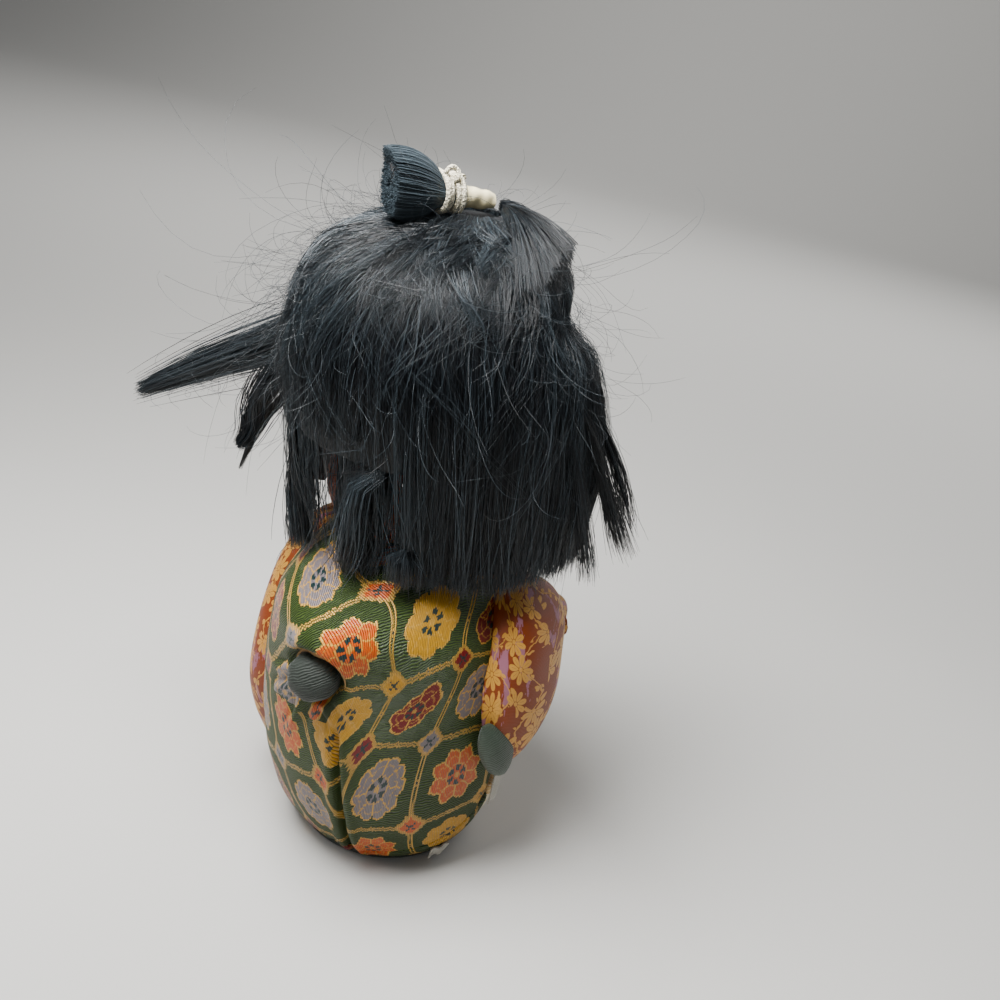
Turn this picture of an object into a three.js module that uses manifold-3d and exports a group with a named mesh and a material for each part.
// A kimekomi doll: a carved paste body with grooves, cloth panels whose edges are tucked into the
// grooves, padded sleeves, and a chalk-white head with silk hair that turns on a wooden peg.
// Millimetres. +Z is up, the origin is the centre of the flat base, and the body faces -Y,
// so the doll's right side is at -X. The head is drawn facing -Y too and then turned on its peg.
import * as THREE from 'three';
import Module from 'manifold-3d';
import { mergeVertices } from 'three/addons/utils/BufferGeometryUtils.js';

const wasm = await Module();
wasm.setup();

// Robe and cloth
const robeHeight = 100;
const robeWidth = 71;
const robeFrontDepth = 37;
const robeBackDepth = 40;
const humpProud = 6;
const clothThickness = 0.7;
const tuckDepth = 2.6;
const seamGap = 0.5;
const seat = 0.3;
const sideSeamAngle = 95;
const frontEdgeAngle = 156;
const waistHeight = 53;
const sashBandHeight = 13;
const ventTop = 52;
const ventShift = -7;
const hemAtBack = 5;
const hemAngle = 24.2;
const hemRollRadius = 1.5;
const baseCoverThickness = 1;
const liningStripWidth = 3;
const liningStripLength = 15;
const liningStripAngle = 72;

// Sash knot at the back and sash end at the right hip
const knotRadius = 6.2;
const knotHeight = 69;
const knotShift = 0;
const knotProud = 8;
const knotSeatDepth = 7;
const knotRim = 1.2;
const sashEndLength = 27;
const sashEndWidth = 14;
const sashEndThickness = 9;
const sashEndProud = 3.5;
const sashEndRise = 9.5;

// Sleeves and hands
const sleeveInset = 2;
const sleeveHalfThickness = 8.6;
const sleeveFrontDepth = 22;
const sleeveBackDepth = 15;
const shoulderDrop = 11;
const rightSleeveBottom = 36;
const leftSleeveBottom = 7;
const leftSleeveSweep = 8;
const elbowInset = 6.5;
const elbowForward = 25.5;
const forearmRadius = 6.5;
const forearmLength = 20;
const cuffDepth = 3;
const cuffLiningThickness = 1;
const wristRadius = 3.2;
const handLength = 13;
const handPinRadius = 0.9;
const handPinLength = 11;
const palmHalfWidth = 3.6;
const palmHalfLength = 5.2;
const palmHalfThickness = 2.9;
const thumbHalfWidth = 1.3;
const thumbHalfLength = 3.4;
const thumbRise = 2.6;

// Collars
const neckForward = 8;
const neckOpening = 11.5;
const collarRadius = 21;
const collarHalfHeight = 6.5;
const collarHalfThickness = 3.6;
const collarLift = 3;
const collarTilt = 3;
const collarSpacing = 1.2;
const underCollarTube = 2;

// Head, neck and peg
const headWidth = 50;
const headFrontDepth = 24;
const headBackDepth = 25;
const headHeight = 57;
const neckLength = 16;
const neckRadius = 8.5;
const neckSeatDepth = 4;
const pegRadius = 3;
const pegClearance = 0.08;
const pegInBody = 20;
const pegInHead = 18;
const headTurn = -30;
const noseRise = 20.5;
const noseHalfWidth = 1.8;
const noseProud = 2;
const noseHalfHeight = 2.4;
const earRise = 21.5;
const earProud = 2;
const earHalfDepth = 3;
const earHalfHeight = 5;

// Hair
const hairHalfWidth = 39;
const hairFrontDepth = 36;
const hairBackDepth = 44;
const hairRise = 9;
const hairHemDrop = 2;
const hairCollarClearance = 3.4;
const hairGap = 0.5;
const crownDepth = 22;
const faceHalfAngle = 33;
const napeRightAngle = 46;
const napeLeftAngle = 38;
const napeRise = 25;
const napeLockRadius = 4.6;
const fringeReach = 25;
const fringeLength = 24;
const fringeRoot = 6;
const tieRadius = 3.4;
const wrapLength = 9;
const tieCordRadius = 0.55;
const tieCordTurns = 4;
const tieCordPitch = 1.75;
const tieHeight = 3.6;
const tieSetback = 6;
const topknotTilt = 6;
const bowRadius = 1.4;
const bowAngle = 50;
const tailLength = 14;
const tailHalfHeight = 8;
const tailHalfWidth = 5;
const flyawayLength = 47;
const flyawayRadius = 6;
const curlLength = 24;
const curlRadius = 2.8;
const thinLockLength = 28;
const thinLockRadius = 1.7;

const radians = THREE.MathUtils.degToRad;
const alongY = new THREE.Vector3(0, 1, 0);
const upwards = new THREE.Vector3(0, 0, 1);
const forwards = new THREE.Vector3(0, -1, 0);
const farAway = 400;

// Closed solids from three.js geometry, and back again

function solid(geometry) {
  const bare = geometry.clone();
  bare.deleteAttribute('normal');
  bare.deleteAttribute('uv');
  const merged = mergeVertices(bare, 1e-3);
  const corners = merged.index.array;
  const kept = [];
  for (let i = 0; i < corners.length; i += 3) {
    const [a, b, c] = [corners[i], corners[i + 1], corners[i + 2]];
    if (a !== b && b !== c && a !== c) kept.push(a, b, c);
  }
  return new wasm.Manifold(new wasm.Mesh({
    numProp: 3,
    vertProperties: new Float32Array(merged.attributes.position.array),
    triVerts: new Uint32Array(kept),
  }));
}

function geometryOf(manifold) {
  const mesh = manifold.getMesh();
  const geometry = new THREE.BufferGeometry();
  geometry.setAttribute('position', new THREE.BufferAttribute(mesh.vertProperties, 3));
  geometry.setIndex(new THREE.BufferAttribute(mesh.triVerts, 1));
  geometry.computeVertexNormals();
  return geometry;
}

const joined = (first, ...others) => others.reduce((whole, part) => whole.add(part), first);
const cut = (first, ...others) => others.reduce((whole, part) => whole.subtract(part), first);
const common = (first, ...others) => others.reduce((whole, part) => whole.intersect(part), first);

// The main body of a solid, without the slivers that a cut can leave beside it
const mainBody = (manifold) => manifold.decompose()
  .reduce((largest, other) => (other.volume() > largest.volume() ? other : largest));

// Everything on the side of a plane that its normal points to
function halfSpace(normal, offset) {
  const unit = normal.clone().normalize();
  const box = new THREE.BoxGeometry(farAway, farAway, farAway);
  box.applyQuaternion(new THREE.Quaternion().setFromUnitVectors(upwards, unit));
  box.translate(...unit.multiplyScalar(offset + farAway / 2).toArray());
  return solid(box);
}

const above = (height) => halfSpace(upwards, height);
const below = (height) => halfSpace(upwards.clone().negate(), -height);

// The wedge between two angles round the vertical axis, counted from the back towards the right
// hand. Its two faces are moved inwards by inset.
function wedge(from, to, inset) {
  const face = (angle, sign) => halfSpace(
    new THREE.Vector3(-sign * Math.cos(radians(angle)), -sign * Math.sin(radians(angle)), 0), inset);
  return face(from, 1).intersect(face(to, -1));
}

function cylinder(radius, from, to, sides = 24) {
  const axis = to.clone().sub(from);
  const shape = new THREE.CylinderGeometry(radius, radius, axis.length(), sides);
  shape.applyQuaternion(new THREE.Quaternion().setFromUnitVectors(alongY, axis.normalize()));
  shape.translate(...from.clone().add(to).multiplyScalar(0.5).toArray());
  return solid(shape);
}

const upright = (radius, bottom, top) => cylinder(
  radius, new THREE.Vector3(0, 0, bottom), new THREE.Vector3(0, 0, top));

// Smooth value of one column of a table of rows, at share t of the way down the rows
function between(rows, column, t) {
  const place = THREE.MathUtils.clamp(t, 0, 1) * (rows.length - 1);
  const row = Math.min(Math.floor(place), rows.length - 2);
  const u = place - row;
  const at = (k) => rows[THREE.MathUtils.clamp(k, 0, rows.length - 1)][column];
  const [a, b, c, d] = [at(row - 1), at(row), at(row + 1), at(row + 2)];
  return b + 0.5 * u * (c - a + u * (2 * a - 5 * b + 4 * c - d + u * (3 * (b - c) + d - a)));
}

// A rounded form whose level sections are rounded ovals. Rows run from the lowest section to the
// highest: height, half width, depth to the front, depth to the back, sideways shift.
// A positive grow moves the skin outwards, and a negative one moves it inwards.
function form(rows, { sides = 24, levels = 12, power = 2.1, grow = 0, bump } = {}) {
  const shape = new THREE.SphereGeometry(1, sides, levels);
  shape.rotateX(Math.PI / 2);
  const skin = shape.attributes.position;
  const oval = (share) => Math.sign(share) * Math.abs(share) ** (2 / power);
  for (let i = 0; i < skin.count; i += 1) {
    const place = new THREE.Vector3().fromBufferAttribute(skin, i);
    const level = Math.round((1 - Math.acos(THREE.MathUtils.clamp(place.z, -1, 1)) / Math.PI) * levels);
    const t = (level - 1) / (levels - 2);
    const round = Math.hypot(place.x, place.y);
    const pole = level === 0 || level === levels;
    const across = pole ? 0 : oval(place.x / round);
    const along = pole ? 0 : oval(place.y / round);
    place.set(
      across * between(rows, 1, t) + between(rows, 4, t),
      along * between(rows, along > 0 ? 3 : 2, t),
      between(rows, 0, t));
    if (bump) bump(place);
    skin.setXYZ(i, ...place.toArray());
  }
  shape.deleteAttribute('normal');
  shape.deleteAttribute('uv');
  const closed = mergeVertices(shape, 1e-3);
  closed.computeVertexNormals();
  const normals = closed.attributes.normal;
  const points = closed.attributes.position;
  for (let i = 0; i < points.count; i += 1) {
    const place = new THREE.Vector3().fromBufferAttribute(points, i);
    place.addScaledVector(new THREE.Vector3().fromBufferAttribute(normals, i), grow);
    points.setXYZ(i, ...place.toArray());
  }
  return solid(closed);
}

// Rows given as shares of the driving sizes, made real sizes
const rowsOf = (shares, bottom, top, halfWidth, front, back) => shares.map(
  ([height, wide, ahead, behind, shift = 0]) => [
    bottom + height * (top - bottom), wide * halfWidth, ahead * front, behind * back, shift]);

// A padded ring lying on an oval, with its middle at the given height
function ovalRing(halfWidth, front, back, halfThickness, halfHeight, height, tilt = 0) {
  const shape = new THREE.TorusGeometry(farAway, 1, 6, 24);
  const skin = shape.attributes.position;
  for (let i = 0; i < skin.count; i += 1) {
    const [x, y, z] = [skin.getX(i), skin.getY(i), skin.getZ(i)];
    const round = Math.hypot(x, y);
    const proud = (round - farAway) * halfThickness;
    const depth = y > 0 ? back : front;
    skin.setXYZ(i, (x / round) * (halfWidth + proud), (y / round) * (depth + proud),
      height + z * halfHeight + tilt * (x / round));
  }
  return solid(shape);
}

// A ball drawn out along an axis
function ovalAlong(centre, halfAcross, halfAlong, halfHigh, axis) {
  const ball = new THREE.SphereGeometry(1, 10, 6);
  ball.scale(halfAcross, halfAlong, halfHigh);
  ball.applyQuaternion(new THREE.Quaternion().setFromUnitVectors(alongY, axis));
  ball.translate(...centre.toArray());
  return solid(ball);
}

const mirrored = (manifold) => manifold.mirror([1, 0, 0]);
const atNeck = (manifold) => manifold.translate([0, -neckForward, 0]);

// Robe form: share of the height, half width, depth to the front, depth to the back
const robeRows = rowsOf([
  [0.00, 0.68, 0.74, 0.58], [0.05, 0.79, 0.84, 0.69], [0.12, 0.88, 0.91, 0.80], [0.22, 0.95, 0.97, 0.90],
  [0.34, 1.00, 1.00, 0.97], [0.48, 1.01, 1.00, 1.01], [0.62, 0.99, 0.97, 1.02], [0.74, 0.94, 0.93, 1.00],
  [0.82, 0.85, 0.85, 0.95], [0.88, 0.75, 0.76, 0.83], [0.93, 0.61, 0.64, 0.64], [0.97, 0.46, 0.50, 0.44],
  [1.00, 0.36, 0.40, 0.30],
], 0, robeHeight, robeWidth / 2, robeFrontDepth, robeBackDepth);
const humpHeight = 0.8 * robeHeight;
const humpReach = 0.09 * robeHeight;
const humpHalfWidth = 0.24 * robeWidth;

function hump(place) {
  if (place.y <= 0) return;
  const rise = Math.exp(-(((place.z - humpHeight) / humpReach) ** 2));
  place.y += humpProud * rise * Math.exp(-((place.x / humpHalfWidth) ** 2));
}

const robe = (grow) => form(robeRows, { grow, bump: hump });
const robeSkin = robe(0);
const besideRobe = robe(seat);
const [footHalfWidth, footFront, footBack] = robeRows[1].slice(1);

// Foot of the robe: a flat cover underneath and a padded hem round it
const hemRollHeight = hemRollRadius + seat;
const hemRollTop = hemRollHeight + hemRollRadius + seat;
const hemRoll = (grow) => ovalRing(footHalfWidth - hemRollRadius, footFront - hemRollRadius,
  footBack - hemRollRadius, hemRollRadius + grow, hemRollRadius + grow, hemRollHeight);
const coverInset = 2 * hemRollRadius + seat;
const baseCover = (() => {
  const disc = new THREE.CylinderGeometry(1, 1, baseCoverThickness, 40);
  disc.rotateX(Math.PI / 2);
  disc.translate(0, 0, baseCoverThickness / 2);
  const skin = disc.attributes.position;
  for (let i = 0; i < skin.count; i += 1) {
    const depth = skin.getY(i) > 0 ? footBack : footFront;
    skin.setX(i, skin.getX(i) * (footHalfWidth - coverInset));
    skin.setY(i, skin.getY(i) * (depth - coverInset));
  }
  return solid(disc);
})();

// Cloth panels. Each region is a function of how far its edges are moved inwards.
const hemNormal = new THREE.Vector3(0, Math.sin(radians(hemAngle)), Math.cos(radians(hemAngle)));
const hemOffset = hemNormal.dot(new THREE.Vector3(0, footBack, hemAtBack));
const aboveHem = (inset) => halfSpace(hemNormal, hemOffset + inset);
const belowHem = (inset) => halfSpace(hemNormal.clone().negate(), inset - hemOffset);
const offBase = (inset) => above(hemRollTop + inset);
const sashTop = waistHeight + sashBandHeight;
const openFront = (inset) => wedge(frontEdgeAngle, 360 - frontEdgeAngle, inset);
const wholeFront = (inset) => wedge(sideSeamAngle, 360 - sideSeamAngle, inset);
const ventSlot = (inset) => {
  const slot = new THREE.BoxGeometry(2 * inset, farAway / 2, ventTop);
  slot.translate(ventShift, farAway / 4, ventTop / 2);
  return solid(slot);
};
const regions = {
  coat_back: (inset) => cut(common(aboveHem(inset), offBase(inset)), wholeFront(-inset), ventSlot(inset)),
  coat_front_right: (inset) => common(
    wedge(sideSeamAngle, frontEdgeAngle, inset), above(waistHeight + inset)),
  coat_front_left: (inset) => common(
    wedge(360 - frontEdgeAngle, 360 - sideSeamAngle, inset), above(waistHeight + inset)),
  kimono_front: (inset) => common(openFront(inset), above(sashTop + inset)),
  sash_front: (inset) => common(openFront(inset), above(waistHeight + inset), below(sashTop - inset)),
  skirt_front: (inset) => common(wholeFront(inset), below(waistHeight - inset), offBase(inset)),
  skirt_right: (inset) => common(wedge(0, sideSeamAngle, inset), belowHem(inset), offBase(inset)),
  skirt_left: (inset) => common(wedge(360 - sideSeamAngle, 360, inset), belowHem(inset), offBase(inset)),
};

// The sash knot sits in a pocket under the hump, and its axis dips a little
const knotAxis = new THREE.Vector3(-0.02, 1, -0.16).normalize();
const knotFoot = new THREE.Vector3(knotShift, robeBackDepth - knotSeatDepth, knotHeight);
const alongKnot = (distance) => knotFoot.clone().addScaledVector(knotAxis, distance);
const knotPocket = (radius) => cylinder(radius, alongKnot(0), alongKnot(farAway / 4));
const knotMouth = knotRadius + knotRim;
const domeDepth = 0.45 * knotRadius;
const domeFoot = knotSeatDepth + knotProud - domeDepth;
const sashKnot = joined(
  cylinder(knotRadius, alongKnot(seat), alongKnot(domeFoot)),
  ovalAlong(alongKnot(domeFoot), knotRadius, domeDepth, knotRadius, knotAxis));

// Each panel is a thin skin with flanges that turn in along its edges
const neckHole = atNeck(upright(neckOpening, robeHeight - headHeight / 4, farAway / 2));
const flangeFoot = robe(-tuckDepth);
const underCloth = robe(-clothThickness);
const panels = Object.fromEntries(Object.entries(regions).map(([name, region]) => {
  const rim = seamGap / 2;
  const skin = common(region(rim), robeSkin.subtract(flangeFoot));
  const panel = cut(skin, common(region(rim + clothThickness), underCloth), neckHole);
  return [name, name === 'coat_back' ? panel.subtract(knotPocket(knotMouth)) : panel];
}));

// Carved body: it fills the panels, with a groove along each panel's edge
const carvedInset = clothThickness + seat;
const carvedSkin = robe(-carvedInset);
const pegFoot = robeHeight - neckSeatDepth - pegInBody;
const neckFoot = robeHeight - neckSeatDepth;
const knotFace = knotFoot.dot(knotAxis) + knotSeatDepth - tuckDepth;
const bodyCore = cut(
  Object.values(regions).reduce(
    (body, region) => body.add(common(region(seamGap / 2 + carvedInset), carvedSkin)),
    robe(-tuckDepth - seat)),
  hemRoll(seat),
  below(baseCoverThickness + seat),
  atNeck(upright(neckRadius + seat, neckFoot - seat, farAway / 2)),
  atNeck(upright(pegRadius + pegClearance, pegFoot - seat, farAway / 2)),
  common(knotPocket(knotMouth), halfSpace(knotAxis, knotFace)),
  knotPocket(knotRadius + seat));

// Sleeves: a padded hanging sleeve and a forearm to the front, drawn for the right side.
// Shares: height, thickness, depth to the front, depth to the back, sideways shift.
// Sweep carries the foot of a sleeve backwards.
const sleeveShares = [
  [0.00, 0.25, 0.30, 0.05, -1], [0.09, 0.60, 0.55, 0.30, -1.5], [0.22, 0.88, 0.78, 0.66, -2],
  [0.38, 1.02, 0.92, 0.95, -2], [0.58, 1.02, 1.00, 1.00, -1], [0.76, 0.96, 1.00, 0.80, 0],
  [0.90, 0.78, 0.78, 0.56, 2], [1.00, 0.45, 0.40, 0.28, 5],
];
const sleeveOffset = robeWidth / 2 - sleeveInset;
const sleeveTop = robeHeight - shoulderDrop;
const elbow = new THREE.Vector3(elbowInset - robeWidth / 2, -elbowForward, waistHeight + sashBandHeight);
const armAxis = new THREE.Vector3(0.72, -0.66, -0.2).normalize();
const alongArm = (distance) => elbow.clone().addScaledVector(armAxis, distance);
const armPiece = (radius, from, to) => cylinder(radius, alongArm(from), alongArm(to), 12);
const cuffFloor = forearmLength - cuffDepth;
const coreEnd = cuffFloor - cuffLiningThickness - seat;
const handPinEnd = cuffFloor + handLength / 4;
const handPin = (grow) => armPiece(
  handPinRadius + grow, handPinEnd - handPinLength - grow, handPinEnd + grow);

function sleevePad(bottom, sweep, grow) {
  const sizes = [bottom, sleeveTop, sleeveHalfThickness, sleeveFrontDepth, sleeveBackDepth];
  const rows = rowsOf(sleeveShares, ...sizes).map(([height, thick, front, behind, shift], i) => {
    const carried = sweep * (1 - sleeveShares[i][0]);
    return [height, thick, front - carried, behind + carried, shift];
  });
  return form(rows, { sides: 14, levels: 9, power: 2.3, grow }).translate([-sleeveOffset, 0, 0]);
}

function sleeveForm(bottom, sweep, grow) {
  const radius = forearmRadius + grow;
  return joined(sleevePad(bottom, sweep, grow), armPiece(radius, 0, forearmLength + grow),
    ovalAlong(elbow, radius, 2 * radius, radius, alongY));
}

function sleevePieces(bottom, sweep) {
  const mouth = armPiece(forearmRadius - clothThickness, cuffFloor, farAway / 4);
  const beyondCore = armPiece(forearmRadius, coreEnd, farAway / 4);
  const inside = sleeveForm(bottom, sweep, -clothThickness);
  return {
    core: mainBody(cut(
      sleeveForm(bottom, sweep, -clothThickness - seat), beyondCore, besideRobe, handPin(seat))),
    cloth: mainBody(cut(sleeveForm(bottom, sweep, 0), inside, mouth, besideRobe)),
  };
}

const cuffLining = cut(
  armPiece(forearmRadius - clothThickness - seat, cuffFloor - cuffLiningThickness, cuffFloor),
  handPin(seat), besideRobe);

// A small closed hand: a wrist, a palm and a thumb along the arm's axis
const palmCentre = alongArm(cuffFloor + handLength - palmHalfLength);
const thumbCentre = palmCentre.clone().addScaledVector(upwards, thumbRise);
const hand = cut(
  joined(
    ovalAlong(palmCentre, palmHalfWidth, palmHalfLength, palmHalfThickness, armAxis),
    ovalAlong(thumbCentre, thumbHalfWidth, thumbHalfLength, thumbHalfWidth, armAxis),
    armPiece(wristRadius, cuffFloor + seat, cuffFloor + handLength / 2)),
  handPin(seat), besideRobe);

// Sash end: a padded leaf at the right hip, under the foot of the right sleeve
const sashEndAxis = new THREE.Vector3(0.2, 0.52, 0.84).normalize();
const sashEndCentre = new THREE.Vector3(
  -robeWidth / 2 - sashEndProud, 0.6 * sleeveBackDepth, rightSleeveBottom + sashEndRise);
const sashEndRight = (() => {
  const leaf = new THREE.SphereGeometry(1, 14, 10);
  leaf.rotateX(Math.PI / 2);
  leaf.scale(sashEndThickness / 2, sashEndWidth / 2, sashEndLength / 2);
  leaf.applyQuaternion(new THREE.Quaternion().setFromUnitVectors(upwards, sashEndAxis));
  leaf.translate(...sashEndCentre.toArray());
  return cut(solid(leaf), besideRobe, sleevePad(rightSleeveBottom, 0, seat));
})();

// The edge of the coat's white lining, which shows as a strip under the sash end
const liningTop = sashEndCentre.z - sashEndLength / 2;
const liningHalfAngle = THREE.MathUtils.radToDeg(liningStripWidth / robeWidth);
const liningStrip = common(
  robe(seat + clothThickness).subtract(besideRobe),
  wedge(liningStripAngle - liningHalfAngle, liningStripAngle + liningHalfAngle, 0),
  above(liningTop - liningStripLength), below(liningTop));

// Collars: a thick padded roll on the shoulders, higher at the left, and a slim white one inside
const collarHeight = robeHeight + collarLift;
const collarRing = atNeck(ovalRing(collarRadius, collarRadius, collarRadius, collarHalfThickness,
  collarHalfHeight, collarHeight, collarTilt)).subtract(besideRobe);
const underCollarRadius = collarRadius - collarHalfThickness - collarSpacing - underCollarTube;
const underCollar = atNeck(ovalRing(underCollarRadius, underCollarRadius, underCollarRadius,
  underCollarTube, underCollarTube, robeHeight + underCollarTube / 2)).subtract(besideRobe);

// Head, facing forwards about its own axis: a smooth egg with nose, ears and neck, bored for the peg
const chin = neckFoot + neckLength;
const headTop = chin + headHeight;
const headRows = rowsOf([
  [0.00, 0.26, 0.30, 0.10], [0.06, 0.52, 0.68, 0.34], [0.16, 0.76, 0.88, 0.62], [0.30, 0.93, 0.98, 0.86],
  [0.46, 1.00, 1.00, 0.98], [0.62, 1.00, 0.99, 1.00], [0.76, 0.93, 0.92, 0.95], [0.88, 0.74, 0.74, 0.77],
  [0.96, 0.46, 0.46, 0.48], [1.00, 0.16, 0.16, 0.16],
], chin, headTop, headWidth / 2, headFrontDepth, headBackDepth);
const noseCentre = new THREE.Vector3(0, -headFrontDepth, chin + noseRise);
const nose = ovalAlong(noseCentre, noseHalfWidth, noseProud, noseHalfHeight, alongY);
const earCentre = new THREE.Vector3(-headWidth / 2, 1, chin + earRise);
const skull = (grow) => {
  const ear = ovalAlong(earCentre, earProud + grow, earHalfDepth + grow, earHalfHeight + grow, alongY);
  return joined(form(headRows, { sides: 20, levels: 12, grow }), ear, mirrored(ear));
};
const pegTop = neckFoot + pegInHead;
const head = cut(
  joined(skull(0), nose, upright(neckRadius, neckFoot, chin + headHeight / 3)),
  upright(pegRadius + pegClearance, neckFoot - farAway / 4, pegTop + seat));
const neckPeg = upright(pegRadius, pegFoot, pegTop);

// Hair mass: share of the height, half width, depth to the front, depth to the back
const hairTop = headTop + hairRise;
const hairHem = robeHeight - hairHemDrop;
const hairRows = rowsOf([
  [0.00, 1.02, 1.08, 0.84], [0.15, 1.03, 1.08, 0.91], [0.34, 1.02, 1.04, 0.97], [0.52, 1.00, 0.97, 1.02],
  [0.66, 0.94, 0.86, 1.00], [0.79, 0.82, 0.73, 0.87], [0.89, 0.63, 0.58, 0.64], [0.96, 0.40, 0.40, 0.38],
  [1.00, 0.16, 0.16, 0.16],
], hairHem, hairTop, hairHalfWidth, hairFrontDepth, hairBackDepth);
const hairForm = (grow) => form(hairRows, { sides: 24, levels: 11, power: 2, grow });
const collarReach = collarRadius + collarHalfThickness + hairCollarClearance;
const collarTop = collarHeight + collarTilt + collarHalfHeight + seat;
const throat = [
  [0, hairHem - 1], [collarReach, hairHem - 1], [collarReach, collarTop], [headWidth / 3, collarTop + 4],
  [0, collarTop + 4]].map(([radius, height]) => new THREE.Vector2(radius, height));
const underHair = new THREE.LatheGeometry(throat, 24);
underHair.rotateX(Math.PI / 2);
const hairMass = cut(hairForm(0), skull(seat), solid(underHair));

// Points round the head: angle from the back towards the right hand, reach from the axis, height
const atHead = (angle, reach, height) => new THREE.Vector3(
  -reach * Math.sin(radians(angle)), reach * Math.cos(radians(angle)), height);

// Topknot: an ivory wrap and a wound cord hold a tail of hair that is trimmed to a fan
const topknotAxis = new THREE.Vector3(0, Math.cos(radians(topknotTilt)), Math.sin(radians(topknotTilt)));
const tieCentre = new THREE.Vector3(0, tieSetback, hairTop + tieHeight);
const alongTopknot = (distance) => tieCentre.clone().addScaledVector(topknotAxis, distance);
const tieHalfLength = (tieCordTurns * tieCordPitch) / 2 + tieCordRadius;
const windingRadius = tieRadius + seat + tieCordRadius;
const wrapEnd = -tieHalfLength - seat;
const topknotWrap = (grow) => cylinder(
  tieRadius + seat + grow, alongTopknot(wrapEnd - wrapLength - grow), alongTopknot(wrapEnd + grow), 18);
const roomRadius = windingRadius + tieCordRadius + seat;
const tieRoom = cylinder(
  roomRadius, alongTopknot(-tieHalfLength - seat), alongTopknot(tieHalfLength + seat), 18);
const topknotTail = (grow) => {
  const tail = new THREE.CylinderGeometry(1, 1, 1, 18, 8);
  const skin = tail.attributes.position;
  const start = wrapEnd + seat;
  const end = tieHalfLength + tailLength;
  for (let i = 0; i < skin.count; i += 1) {
    const distance = start + (skin.getY(i) + 0.5) * (end - start);
    const spread = THREE.MathUtils.clamp((distance - tieHalfLength) / tailLength, 0, 1);
    const flare = Math.sin(spread * Math.PI / 2);
    const high = THREE.MathUtils.lerp(tieRadius, tailHalfHeight, flare) + grow;
    const wide = THREE.MathUtils.lerp(tieRadius, tailHalfWidth, flare) + grow;
    skin.setXYZ(i, skin.getX(i) * wide, distance, skin.getZ(i) * high);
  }
  tail.rotateX(radians(topknotTilt));
  tail.translate(...tieCentre.toArray());
  return solid(tail);
};

// One unbroken round tube through a list of points, closed at both ends
function tube(points, radius, sides) {
  const places = [];
  const faces = [];
  const outwards = new THREE.Vector3();
  points.forEach((point, i) => {
    const ahead = points[Math.min(i + 1, points.length - 1)];
    const along = ahead.clone().sub(points[Math.max(i - 1, 0)]).normalize();
    outwards.copy(point).sub(tieCentre).projectOnPlane(topknotAxis).projectOnPlane(along).normalize();
    const beside = new THREE.Vector3().crossVectors(along, outwards);
    for (let k = 0; k < sides; k += 1) {
      const turn = (k / sides) * 2 * Math.PI;
      const rim = point.clone().addScaledVector(outwards, radius * Math.cos(turn))
        .addScaledVector(beside, radius * Math.sin(turn));
      places.push(...rim.toArray());
    }
  });
  for (let i = 0; i < points.length - 1; i += 1) {
    for (let k = 0; k < sides; k += 1) {
      const [a, b] = [i * sides + k, i * sides + ((k + 1) % sides)];
      faces.push(a, b, b + sides, a, b + sides, a + sides);
    }
  }
  const last = (points.length - 1) * sides;
  for (let k = 1; k < sides - 1; k += 1) {
    faces.push(0, k + 1, k);
    faces.push(last, last + k, last + k + 1);
  }
  const geometry = new THREE.BufferGeometry();
  geometry.setAttribute('position', new THREE.Float32BufferAttribute(places, 3));
  geometry.setIndex(faces);
  return solid(geometry);
}

// The tie cord's turns, and the least gap between one turn and the next
const stepsPerTurn = 24;
const tieCordPoints = (() => {
  const steps = tieCordTurns * stepsPerTurn;
  const sideways = new THREE.Vector3(1, 0, 0);
  const acrossTie = new THREE.Vector3().crossVectors(sideways, topknotAxis);
  const turnPoint = (i) => {
    const turn = (i / stepsPerTurn) * 2 * Math.PI;
    return alongTopknot((i / stepsPerTurn - tieCordTurns / 2) * tieCordPitch)
      .addScaledVector(acrossTie, windingRadius * Math.cos(turn))
      .addScaledVector(sideways, windingRadius * Math.sin(turn));
  };
  const turns = Array.from({ length: steps + 1 }, (_, i) => turnPoint(i));
  const run = 2 * tieCordRadius;
  return [
    turns[0].clone().addScaledVector(sideways, -run), ...turns,
    turns[steps].clone().addScaledVector(sideways, run)];
})();
const tieCordGap = tieCordPoints.reduce((least, point, i) => tieCordPoints
  .slice(i + stepsPerTurn / 2)
  .reduce((gap, other) => Math.min(gap, point.distanceTo(other) - 2 * tieCordRadius), least), Infinity);
console.log(`least gap between turns of the tie cord: ${tieCordGap.toFixed(2)} mm`);
const tieCord = tube(tieCordPoints, tieCordRadius, 6);

// A small loop of the same cord lies against the turns, high on the right
const bowOutwards = new THREE.Vector3(1, 0, 0).cross(topknotAxis)
  .applyAxisAngle(topknotAxis, -radians(bowAngle));
const bowCentre = alongTopknot(0).addScaledVector(bowOutwards, windingRadius + 2 * tieCordRadius + seat);
const bow = new THREE.TorusGeometry(bowRadius, tieCordRadius, 6, 14);
bow.applyQuaternion(new THREE.Quaternion().setFromUnitVectors(upwards, bowOutwards));
bow.translate(...bowCentre.toArray());

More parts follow.
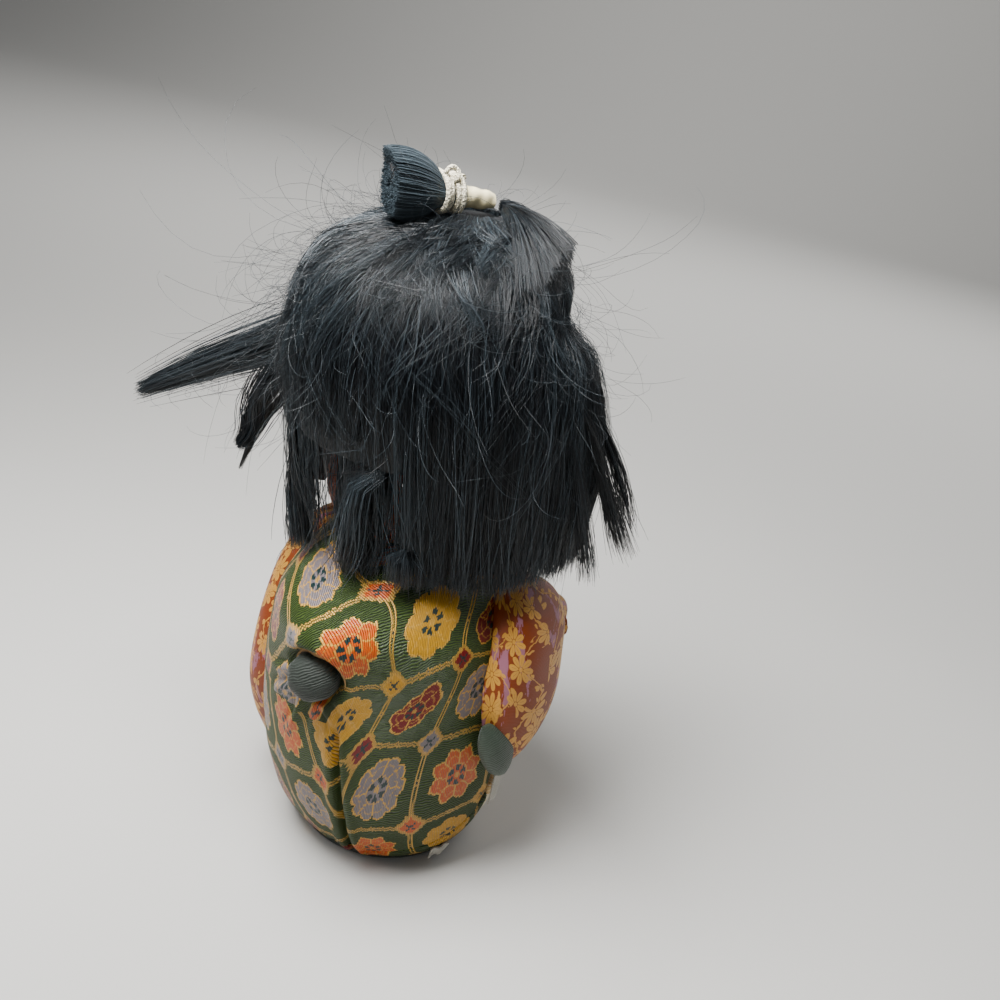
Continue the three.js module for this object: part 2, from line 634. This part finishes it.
// Hair pieces, cut from the mass with a narrow gap between them
const crownFoot = hairTop - crownDepth;
const faceEdge = 180 - faceHalfAngle;
const halfGap = hairGap / 2;
const belowCrown = common(hairMass, below(crownFoot - halfGap));
const sideHair = (from, to) => common(belowCrown, wedge(from, to, halfGap));
const napeFoot = hairHem + napeRise;
const fringeRows = rowsOf([
  [0.00, 0.84, 0.80, 1], [0.25, 0.86, 0.91, 1], [0.55, 0.80, 0.99, 1], [0.78, 0.66, 1.00, 1],
  [0.92, 0.45, 0.82, 1], [1.00, 0.20, 0.40, 1],
], hairTop - fringeLength, hairTop + 0.5, hairHalfWidth, fringeReach, fringeRoot);
const fringe = (grow) => common(
  form(fringeRows, { sides: 24, levels: 8, power: 2.3, grow }),
  wedge(faceEdge, 360 - faceEdge, halfGap - grow),
  halfSpace(forwards, fringeRoot - grow));
const hair = {
  hair_crown: cut(common(hairMass, above(crownFoot + halfGap)),
    fringe(hairGap), topknotWrap(seat), tieRoom, topknotTail(seat)),
  hair_side_right: sideHair(napeRightAngle, faceEdge),
  hair_side_left: sideHair(360 - faceEdge, 360 - napeLeftAngle),
  hair_nape: sideHair(-napeLeftAngle, napeRightAngle).intersect(above(napeFoot)),
  hair_fringe: cut(fringe(0), skull(seat), topknotWrap(seat)),
  topknot_tail: topknotTail(0),
};

// Loose locks: tapered tubes through chosen points round the head. Places give an angle, how far
// beyond the hair's back and how high above its hem, and widths are shares of the radius.
function lock(places, radius, widths, flatness, grow = 0) {
  const line = new THREE.CatmullRomCurve3(
    places.map(([angle, beyond, rise]) => atHead(angle, hairBackDepth + beyond, hairHem + rise)));
  const [sides, steps] = [6, 7];
  const frames = line.computeFrenetFrames(steps, false);
  const skin = new THREE.CylinderGeometry(1, 1, 1, sides, steps);
  const points = skin.attributes.position;
  for (let i = 0; i < points.count; i += 1) {
    const share = 0.5 + points.getY(i);
    const step = Math.round(share * steps);
    const reach = radius * between(widths.map((width) => [width]), 0, share) + grow;
    const place = line.getPointAt(share)
      .addScaledVector(frames.normals[step], points.getX(i) * reach)
      .addScaledVector(frames.binormals[step], -points.getZ(i) * reach * flatness);
    points.setXYZ(i, ...place.toArray());
  }
  return solid(skin);
}

// Places of a lock that starts on the hair: angle, share of its length outwards, share of it down
const lockPlaces = (rootRise, length, shares) => shares.map(
  ([angle, outwards, down]) => [angle, outwards * length, rootRise - down * length]);
const hairBeside = hairForm(seat);
const flyawayPlaces = lockPlaces(napeRise + 3 * flyawayRadius, flyawayLength, [
  [-33, -0.17, 0], [-34, 0.04, 0.09], [-34, 0.3, 0.21], [-34, 0.57, 0.38], [-34, 0.81, 0.51]]);
const flyaway = (grow) => lock(flyawayPlaces, flyawayRadius, [1, 0.93, 0.7, 0.47, 0.17], 0.75, grow);
const curlPlaces = lockPlaces(napeRise + 3 * curlRadius, curlLength, [
  [-34, 0, 0], [-35, 0.17, 0.3], [-35, 0.3, 0.63], [-35, 0.42, 0.93]]);
const curl = lock(curlPlaces, curlRadius, [0.57, 1, 0.93, 0.39], 0.8);
const thinPlaces = lockPlaces(napeRise + 2 * thinLockRadius, thinLockLength, [
  [-38, -0.11, 0], [-38, 0.04, 0.29], [-38, 0.11, 0.61], [-38, 0.14, 1]]);
const thinLock = lock(thinPlaces, thinLockRadius, [0.7, 1, 0.82, 0.35], 0.8);
function backLock(angle, radius, flatness) {
  const inset = -1.5 * napeLockRadius;
  const places = [
    [angle, inset, napeRise + seat], [angle, inset, 0.75 * napeRise], [angle, inset, 0.3 * napeRise],
    [angle - 2, inset, 0]];
  return lock(places, radius, [0.9, 1, 1, 0.6], flatness).intersect(below(napeFoot - seat));
}
hair.hair_lock_flyaway = cut(flyaway(0), hairBeside);
hair.hair_lock_curl = cut(curl, hairBeside, flyaway(seat));
hair.hair_lock_thin = cut(thinLock, hairBeside);
hair.hair_lock_left = backLock(-10, napeLockRadius, 0.9);
hair.hair_lock_nape = backLock(33, 1.4 * napeLockRadius, 0.6);

// The scene graph
const paint = {
  paste: [0xb08a5c, 0.9], brocade: [0x3f5a36, 0.75], orange: [0xc8511a, 0.5], crepe: [0xd2621f, 0.8],
  cream: [0xd9d2bd, 0.8], green: [0x4e7358, 0.6], white: [0xefe9dc, 0.7], felt: [0x1c1c1e, 0.95],
  chalk: [0xf3e7da, 0.35], wood: [0xc9a26b, 0.7], hair: [0x101216, 0.5], steel: [0x9a9a96, 0.4],
  ivory: [0xe6cf9a, 0.5],
};

function piece(parent, name, manifold, paintName) {
  const [color, roughness] = paint[paintName];
  const metalness = paintName === 'steel' ? 1 : 0;
  const mesh = new THREE.Mesh(
    geometryOf(manifold), new THREE.MeshStandardMaterial({ color, roughness, metalness }));
  mesh.name = name;
  parent.add(mesh);
}

const body = new THREE.Group();
piece(body, 'body_core', bodyCore, 'paste');
piece(body, 'base_cover', baseCover, 'felt');
piece(body, 'hem_roll', hemRoll(0), 'cream');
const panelPaint = { kimono_front: 'orange', sash_front: 'green', skirt_front: 'cream' };
for (const [name, panel] of Object.entries(panels)) {
  piece(body, name, panel, panelPaint[name] ?? 'brocade');
}
piece(body, 'coat_lining_strip', liningStrip, 'white');
piece(body, 'sash_knot', sashKnot, 'green');
piece(body, 'sash_end_right', sashEndRight, 'green');
piece(body, 'collar_ring', collarRing, 'crepe');
piece(body, 'under_collar', underCollar, 'white');
const sides = [
  ['right', (manifold) => manifold, sleevePieces(rightSleeveBottom, 0)],
  ['left', mirrored, sleevePieces(leftSleeveBottom, leftSleeveSweep)],
];
for (const [side, place, pieces] of sides) {
  piece(body, `sleeve_core_${side}`, place(pieces.core), 'paste');
  piece(body, `sleeve_${side}`, place(pieces.cloth), 'orange');
  piece(body, `cuff_lining_${side}`, place(cuffLining), 'cream');
  piece(body, `hand_${side}`, place(hand), 'chalk');
  piece(body, `hand_pin_${side}`, place(handPin(0)), 'steel');
}

const headGroup = new THREE.Group();
headGroup.position.set(0, -neckForward, 0);
headGroup.rotation.z = radians(headTurn);
piece(headGroup, 'neck_peg', neckPeg, 'wood');
piece(headGroup, 'head', head, 'chalk');
for (const [name, strands] of Object.entries(hair)) piece(headGroup, name, strands, 'hair');
piece(headGroup, 'topknot_wrap', topknotWrap(0), 'ivory');
piece(headGroup, 'topknot_cord', tieCord, 'white');
piece(headGroup, 'topknot_bow', solid(bow), 'white');

const doll = new THREE.Group();
doll.add(body, headGroup);

export default doll;
